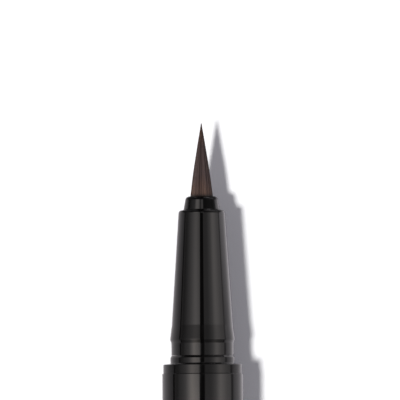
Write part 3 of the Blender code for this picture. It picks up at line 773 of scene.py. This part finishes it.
def make_cap_crown():
    boss, front = span("cap_crown")
    head = span("cap_shell")[1] + HAIRLINE
    face = boss + BOSS_HEIGHT
    outline = [
        (front - GATE_DEPTH, 0, SHARP), (front - GATE_DEPTH, GATE, KEEN),
        (front, GATE + GATE_DEPTH, FINE), (front, RADIUS, END_EDGE), (head, RADIUS, SOFT),
        (head, GUIDE, CRISP), (face, GUIDE, ROUND), (face, BOSS, EASED), (boss, BOSS, FULL),
        (boss, 0, SHARP),
    ]
    piece = turned("cap_end", outline, lacquer, "cap", closed=False)
    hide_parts("cap_crown")


GUIDE_BORE = 0.00375
GUIDE_MOUTH = 0.0033
GUIDE_STOP = 0.0008


def make_guide():
    rear, front = span("inner_cap_guide")
    stop = rear + GUIDE_STOP
    outline = [
        (front, GUIDE_BORE, EASED), (front, GUIDE, BLUNT), (rear, GUIDE, SOFT),
        (rear, GUIDE_MOUTH, SOFT), (stop, GUIDE_MOUTH, SLIGHT), (stop, GUIDE_BORE, CRISP),
    ]
    piece = turned("guide_sleeve", outline, white, "cap")
    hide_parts("inner_cap_guide")


INNER_CAP_END = 0.0008    # thickness of the inner cap's end


def make_inner_cap():
    rear, front = span("inner_cap")
    back = front - BOSS_HEIGHT
    floor = back - INNER_CAP_END
    outline = [
        (front, 0, SHARP), (front, BOSS, FULL), (back, BOSS, EASED),
        (back, INNER_CAP, THIMBLE_EDGE), (rear, INNER_CAP, EASED),
        (rear, INNER_CAP_BORE, SOFT), (floor, INNER_CAP_BORE, THIMBLE_EDGE),
        (floor, 0, SHARP),
    ]
    piece = turned("brush_cover", outline, white, "sprung_inner_cap", closed=False)
    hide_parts("inner_cap")


SEAL_LIP = 0.00005        # how far the seal's lip reaches in


def make_inner_cap_seal():
    rear, front = span("inner_cap_seal")
    outline = [
        (front, INNER_CAP_BORE, CRISP), (front, INNER_CAP, SLIGHT), (rear, INNER_CAP, EASED),
        (rear, INNER_CAP_BORE - SEAL_LIP, BLUNT),
    ]
    piece = turned("lip_seal", outline, rubber, "sprung_inner_cap")
    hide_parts("inner_cap_seal")


WIRE = 0.0002             # radii of the spring's wire and coil
COIL = 0.0022
SPRING_TURNS = 5
TURN_POINTS = 36
WIRE_SIDES = 10


def make_spring():
    """The compression spring that the inner cap is pushed in against."""
    low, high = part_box("inner_cap_spring")
    start = low.x + WIRE
    end = high.x - WIRE
    count = SPRING_TURNS * TURN_POINTS
    points = []
    for i in range(count + 1):
        angle = 2 * math.pi * i / TURN_POINTS
        points.append(Vector((
            start + (end - start) * i / count,
            -COIL * math.sin(angle),
            AXIS - COIL * math.cos(angle),
        )))
    verts = []
    rings = []
    for i, point in enumerate(points):
        heading = (points[min(i + 1, count)] - points[max(i - 1, 0)]).normalized()
        outward = Vector((0.0, point.y, point.z - AXIS)).normalized()
        across = heading.cross(outward).normalized()
        rings.append(list(range(len(verts), len(verts) + WIRE_SIDES)))
        for side in range(WIRE_SIDES):
            turn = 2 * math.pi * side / WIRE_SIDES
            verts.append(point + (outward * math.cos(turn) + across * math.sin(turn)) * WIRE)
    faces = strand_faces(rings, WIRE_SIDES)
    piece = new_piece("cover_spring", verts, faces, steel, "cap")
    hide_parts("inner_cap_spring")
    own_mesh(piece)


# The pieces inside keep their solids and get their finish
INNER_FINISHES = {
    "ink_tank": natural,
    "tank_seal": rubber,
    "stirring_ball": steel,
    "section_seal": rubber,
    "comb_collector": resin,
    "core_sleeve": natural,
    "feed_core": fibre,
    "brush_heel": natural,
}


def finish_inner_pieces():
    for node, material in INNER_FINISHES.items():
        for material_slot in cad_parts[node].material_slots:
            material_slot.material = material


# Floor
FLOOR_HALF = 2.0
FLOOR_DROP = 0.00002


def lay_floor():
    mesh = bpy.data.meshes.new("floor")
    corners = [
        (side_x * FLOOR_HALF, side_y * FLOOR_HALF, -FLOOR_DROP)
        for side_x, side_y in ((-1, -1), (1, -1), (1, 1), (-1, 1))
    ]
    mesh.from_pydata(corners, [], [(0, 1, 2, 3)])
    mesh.materials.append(paper("paper"))
    floor = bpy.data.objects.new("floor", mesh)
    bpy.context.scene.collection.objects.link(floor)


# Key light: a lamp over the pen's left
KEY_DIRECTION = Vector((-0.08, 0.383, 1.0)).normalized()
KEY_DISTANCE = 0.8
KEY_LENGTH = 0.10
KEY_WIDTH = 0.103
KEY_POWER = 5.8


def hang_key():
    lamp = bpy.data.lights.new("key", "AREA")
    lamp.shape = "ELLIPSE"
    lamp.size = KEY_LENGTH
    lamp.size_y = KEY_WIDTH
    lamp.energy = KEY_POWER
    key = bpy.data.objects.new("key", lamp)
    bpy.context.scene.collection.objects.link(key)
    key.location = KEY_DIRECTION * KEY_DISTANCE
    across = KEY_DIRECTION.cross(ALONG).normalized()
    along = across.cross(KEY_DIRECTION)
    key.rotation_euler = Matrix((along, across, KEY_DIRECTION)).transposed().to_euler()
    key.visible_glossy = False
    key.visible_camera = False


# Studio panels that the gloss reflects: their light by angle from straight up in the plane
# across the pen, in degrees, negative towards its left. The lean of a reflection is the X of
# its direction, and each set of panels takes over from the one before it between two leans.
PANELS = (
    (-90, 0.04), (-88.5, 0.05), (-87.0, 0.21), (-79, 0.21), (-75, 0.28), (-71, 0.41), (-64, 0.49),
    (-57, 0.68), (-50, 0.95), (-42, 1.74), (-35, 2.62), (-29, 2.99), (-24, 2.88), (-16, 2.46),
    (-12, 2.06), (-10, 1.75), (-9.6, 1.45), (-9.1, 0.01), (4.4, 0.01), (6.4, 0.45), (22, 0.46),
    (28, 0.60), (38, 0.97), (46, 1.62), (52, 1.90), (60, 1.58), (72, 1.08), (84, 0.90),
    (87, 0.70), (90, 0.30),
)
# For the coupling and the neck, which lie a little nearer to the brush than the barrel
PANELS_FRONT = (
    (-88.5, 0.05), (-87, 0.18), (-80, 0.17), (-75.5, 0.18), (-71, 0.29), (-66, 0.40), (-58, 0.56),
    (-54, 0.64), (-50, 0.82), (-46, 1.08), (-42, 1.44), (-34, 2.18), (-30, 2.18), (-26, 1.78),
    (-22, 1.52), (-18, 1.46), (-12, 1.06), (-9.5, 0.78), (-5.5, 0.12), (-3, 0.04), (4, 0.04),
    (10, 0.33), (16, 0.33), (22, 0.42), (30, 0.57), (37, 0.80), (44, 1.15), (53, 1.66),
    (62, 1.36), (74, 0.88), (84, 0.70), (90, 0.28),
)
FRONT_START, FRONT_END = 0.01375, 0.0139
# For gloss that leans a little ahead, as the tapered section's does
PANELS_TAPER = (
    (-88.5, 0.05), (-87, 0.23), (-83, 0.215), (-78, 0.17), (-73, 0.24), (-66, 0.36), (-60, 0.50),
    (-52, 0.695), (-44, 0.915), (-40, 1.04), (-32, 1.34), (-28, 1.41), (-24, 1.41), (-16, 1.16),
    (-12, 1.05), (-9.6, 0.75), (-9.1, 0.01), (4.4, 0.01), (6.4, 0.375), (16, 0.375), (22, 0.415),
    (28, 0.56), (38, 0.86), (46, 1.36), (52, 1.56), (57, 1.51), (67, 1.23), (72, 1.04),
    (84, 0.83), (88, 0.55), (90, 0.30),
)
TAPER_START, TAPER_END = 0.03, 0.10
# For gloss that leans far ahead, as the nozzle's does
PANELS_AHEAD = (
    (-90, 0.12), (-84, 0.15), (-75, 0.22), (-67, 0.32), (-59, 0.41), (-51, 0.45), (-44, 1.00),
    (-38, 1.80), (-29, 1.90), (-22, 1.70), (-17, 1.15), (-12, 0.50), (-9, 0.25), (-6, 0.35),
    (-3, 0.80), (2, 0.98), (6, 0.90), (9, 0.22), (13, 0.05), (25, 0.06), (45, 0.10), (90, 0.12),
)
AHEAD_START, AHEAD_END = 0.275, 0.295
# For gloss that leans still further ahead, as that of the rounded rims does
PANELS_RIM = (
    (-90, 0.03), (-45, 0.03), (-8, 0.02), (0, 0.02), (8, 0.05), (30, 0.11), (45, 0.18), (65, 0.34),
    (90, 0.45),
)
RIM_START, RIM_END = 0.45, 0.60
# Windows: how the light of the first three sets changes with the lean, up to LEAN_REACH either
# way. The left side has one for its middle and one for its edge, and goes from the first to the
# second between two angles.
LEAN_REACH = 0.5
EDGE_START, EDGE_END = math.radians(16), math.radians(48)
LEFT_WINDOW = (
    (-0.50, 0.20), (-0.12, 0.70), (-0.02, 1.00), (0.12, 1.00), (0.146, 1.25), (0.156, 0.91),
    (0.162, 0.75), (0.27, 0.53), (0.50, 0.53),
)
LEFT_EDGE_WINDOW = (
    (-0.50, 0.60), (-0.12, 0.90), (-0.02, 1.00), (0.17, 1.00), (0.27, 0.50), (0.50, 0.50),
)
RIGHT_WINDOW = (
    (-0.50, 0.28), (-0.12, 0.80), (-0.02, 1.00), (0.0158, 1.00), (0.0164, 0.84), (0.03, 0.95),
    (0.146, 1.00), (0.165, 0.95), (0.27, 0.70), (0.50, 0.60),
)
# The level of full white in the ramps, and the tints of dim and of bright panels
PANEL_PEAK = 3.0
PANEL_TINT_DIM = (1.0, 0.962, 0.985)
PANEL_TINT_BRIGHT = (1.0, 0.910, 0.850)
# What lights everything but gloss, beside the key
FILL_LEVEL = 0.17
FILL_TINT = (1.0, 0.98, 1.07)


def panel_stops(panels):
    """Bright panels are a little warmer than dim ones."""
    stops = []
    for degrees, level in panels:
        share = level / PANEL_PEAK
        tint = Vector(PANEL_TINT_DIM).lerp(Vector(PANEL_TINT_BRIGHT), share)
        stops.append(((degrees + 90) / 180, tint * share))
    return stops


def window_stops(window):
    return [(lean + LEAN_REACH, (level,) * 3) for lean, level in window]


def make_world():
    """Panels for gloss, an even fill for what isn't gloss, and white behind the picture."""
    world = bpy.data.worlds.new("studio")
    bpy.context.scene.world = world
    world.use_nodes = True
    graph = Graph(world.node_tree)
    graph.nodes.clear()

    direction = graph.add("ShaderNodeTexCoord").outputs["Generated"]
    lean, left, up = graph.add("ShaderNodeSeparateXYZ", {0: direction}).outputs
    right = graph.calculate("MULTIPLY", left, -1.0)
    angle = graph.calculate("ARCTAN2", right, up)
    angle_place = graph.between(angle, -math.pi / 2, math.pi / 2)
    lean_place = graph.calculate("ADD", lean, LEAN_REACH)

    edge = graph.between(angle, -EDGE_START, -EDGE_END)
    left_window = graph.mix(
        edge,
        graph.ramp(lean_place, window_stops(LEFT_WINDOW)),
        graph.ramp(lean_place, window_stops(LEFT_EDGE_WINDOW)),
    )
    right_window = graph.ramp(lean_place, window_stops(RIGHT_WINDOW))
    is_right = graph.calculate("GREATER_THAN", right, 0.0)
    window = graph.mix(is_right, left_window, right_window)

    def change(seen, panels, start, end):
        light = graph.ramp(angle_place, panel_stops(panels))
        return graph.mix(graph.between(lean, start, end), seen, light)

    seen = graph.ramp(angle_place, panel_stops(PANELS))
    seen = change(seen, PANELS_FRONT, FRONT_START, FRONT_END)
    seen = change(seen, PANELS_TAPER, TAPER_START, TAPER_END)
    seen = graph.mix(1.0, seen, window, "MULTIPLY")
    seen = change(seen, PANELS_AHEAD, AHEAD_START, AHEAD_END)
    seen = change(seen, PANELS_RIM, RIM_START, RIM_END)

    panels = graph.add("ShaderNodeBackground", {"Color": seen, "Strength": PANEL_PEAK})
    fill = graph.add("ShaderNodeBackground", {"Color": rgb(*FILL_TINT), "Strength": FILL_LEVEL})
    backdrop = graph.add("ShaderNodeBackground", {"Color": rgb(1.0, 1.0, 1.0), "Strength": 1.0})
    ray = graph.add("ShaderNodeLightPath").outputs
    lit = graph.add(
        "ShaderNodeMixShader",
        {0: ray["Is Glossy Ray"], 1: fill.outputs[0], 2: panels.outputs[0]},
    ).outputs[0]
    behind = graph.calculate("MAXIMUM", ray["Is Camera Ray"], ray["Is Transmission Ray"])
    shown = graph.add("ShaderNodeMixShader", {0: behind, 1: lit, 2: backdrop.outputs[0]})
    graph.add("ShaderNodeOutputWorld", {"Surface": shown.outputs[0]})


# Camera: over the barrel, aimed ahead at the brush, and rolled a little so that the pen leans
# as it does in the photograph
FRAME_CENTRE = Vector((0.0236, 0.000213, AXIS))
FRAME_SIDE = 0.0491
CAMERA_FOOT = -0.012
CAMERA_HEIGHT = 1.040
CAMERA_ROLL = math.radians(0.375)
CLIP_END = 20.0


def place_camera():
    lens = bpy.data.cameras.new("camera")
    camera = bpy.data.objects.new("camera", lens)
    bpy.context.scene.collection.objects.link(camera)
    camera.location = (CAMERA_FOOT, FRAME_CENTRE.y, CAMERA_HEIGHT)
    sight = FRAME_CENTRE - camera.location
    right = sight.cross(ALONG).normalized()
    upward = right.cross(sight).normalized()
    facing = Matrix((right, upward, -sight.normalized())).transposed()
    roll = Matrix.Rotation(-CAMERA_ROLL, 3, "Z")
    camera.rotation_euler = (facing @ roll).to_euler()
    lens.angle = 2 * math.atan(FRAME_SIDE / 2 / sight.length)
    lens.clip_end = CLIP_END
    bpy.context.scene.camera = camera


make_tail_plug()
make_barrel()
make_coupling()
make_front_section()
make_nozzle()
make_brush()
make_brush_root()
make_cap_shell()
make_cap_crown()
make_guide()
make_inner_cap()
make_inner_cap_seal()
make_spring()
finish_inner_pieces()
lay_floor()
hang_key()
make_world()
place_camera()

bpy.context.scene.view_settings.view_transform = "Standard"
